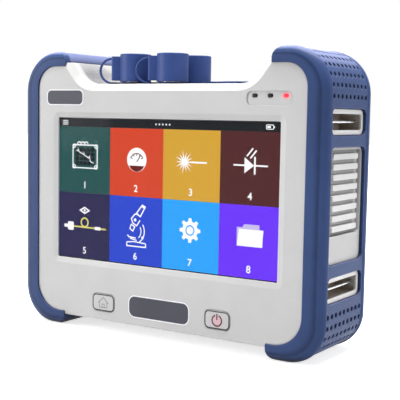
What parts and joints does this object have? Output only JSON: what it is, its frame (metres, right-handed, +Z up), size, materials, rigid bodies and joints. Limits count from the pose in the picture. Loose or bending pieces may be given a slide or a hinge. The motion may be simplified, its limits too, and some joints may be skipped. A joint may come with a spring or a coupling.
{
  "type": "optical time domain reflectometer",
  "caption": "Hand-held fibre tester: wide touch screen in a grey case with blue rubber side bumpers, capped optical ports on top and a folding stand behind.",
  "frame": {"origin": "middle of the base, under the centre of the outer box", "axes": "+X to the right seen from the front, +Y from the screen towards the back, +Z up"},
  "size_m": [0.211, 0.06, 0.1698],
  "materials": {
    "housing": "fine satin texture",
    "bumper_rubber": "satin moulded rubber",
    "cap_rubber": "satin moulded rubber",
    "seal_rubber": "matt",
    "touch_glass": "polished",
    "display": "glossy",
    "sheet_steel": "rolled",
    "light_pipe": "clear smoked",
    "label_plate": "printed",
    "circuit_board": "solder mask",
    "steel": "turned",
    "black_plastic": "moulded",
    "cast_aluminium": "cast",
    "fibre_jacket": "extruded",
    "battery_wrap": "shrink wrap",
    "button": "satin",
    "strap_frame": "satin",
    "nickel": "nickel plate",
    "ceramic": "fired and ground"
  },
  "bodies": {
    "housing": {"front_cover": "housing", "rear_cover": "housing", "left_bumper": "bumper_rubber", "right_bumper": "bumper_rubber", "housing_seal": "seal_rubber", "touch_glass": "touch_glass", "screen_gasket": "seal_rubber", "lcd_panel": "display", "lcd_bracket": "sheet_steel", "status_lights": "light_pipe", "upper_label_plate": "label_plate", "lower_label_plate": "label_plate", "key_board": "circuit_board", "left_vent_plate": "housing", "right_vent_plate": "housing", "left_lower_strap_frame": "strap_frame", "left_lower_strap_bar": "steel", "left_upper_strap_frame": "strap_frame", "left_upper_strap_bar": "steel", "right_lower_strap_frame": "strap_frame", "right_lower_strap_bar": "steel", "right_upper_strap_frame": "strap_frame", "right_upper_strap_bar": "steel", "optical_adapter_1": "nickel", "alignment_sleeve_1": "ceramic", "cap_strap_1": "cap_rubber", "optical_adapter_2": "nickel", "alignment_sleeve_2": "ceramic", "cap_strap_2": "cap_rubber", "optical_adapter_3": "nickel", "alignment_sleeve_3": "ceramic", "cap_strap_3": "cap_rubber", "usb_socket": "steel", "charging_socket": "black_plastic", "port_board": "circuit_board", "main_board": "circuit_board", "optical_module": "cast_aluminium", "fibre_spool": "black_plastic", "fibre_pigtails": "fibre_jacket", "board_screws": "steel", "battery_pack": "battery_wrap", "battery_door": "housing", "battery_door_screws": "steel", "housing_screws": "steel", "stand_pins": "steel"},
    "home_button": {"home_button": "button"},
    "power_button": {"power_button": "button"},
    "dust_cap_1": {"dust_cap_1": "cap_rubber"},
    "dust_cap_2": {"dust_cap_2": "cap_rubber"},
    "dust_cap_3": {"dust_cap_3": "cap_rubber"},
    "port_cover": {"port_cover": "bumper_rubber"},
    "kickstand": {"kickstand": "housing"}
  },
  "joints": [
    {"name": "home_press", "type": "slide", "parent": "housing", "child": "home_button", "axis": [0, 1, 0], "range_m": [0, 0.0008], "stiffness_N_per_m": 800},
    {"name": "power_press", "type": "slide", "parent": "housing", "child": "power_button", "axis": [0, 1, 0], "range_m": [0, 0.0008], "stiffness_N_per_m": 800},
    {"name": "dust_cap_1_pull", "type": "slide", "parent": "housing", "child": "dust_cap_1", "axis": [0, 0, 1], "range_m": [0, 0.014], "deforming": ["cap_strap_1"]},
    {"name": "dust_cap_2_pull", "type": "slide", "parent": "housing", "child": "dust_cap_2", "axis": [0, 0, 1], "range_m": [0, 0.014], "deforming": ["cap_strap_2"]},
    {"name": "dust_cap_3_pull", "type": "slide", "parent": "housing", "child": "dust_cap_3", "axis": [0, 0, 1], "range_m": [0, 0.014], "deforming": ["cap_strap_3"]},
    {"name": "port_cover_hinge", "type": "hinge", "parent": "housing", "child": "port_cover", "pos_m": [0.031, 0.0195, 0.1509], "axis": [-1, 0, 0], "range_deg": [0, 100]},
    {"name": "kickstand_hinge", "type": "hinge", "parent": "housing", "child": "kickstand", "pos_m": [0, 0.0272, 0.111], "axis": [1, 0, 0], "range_deg": [0, 55]}
  ]
}
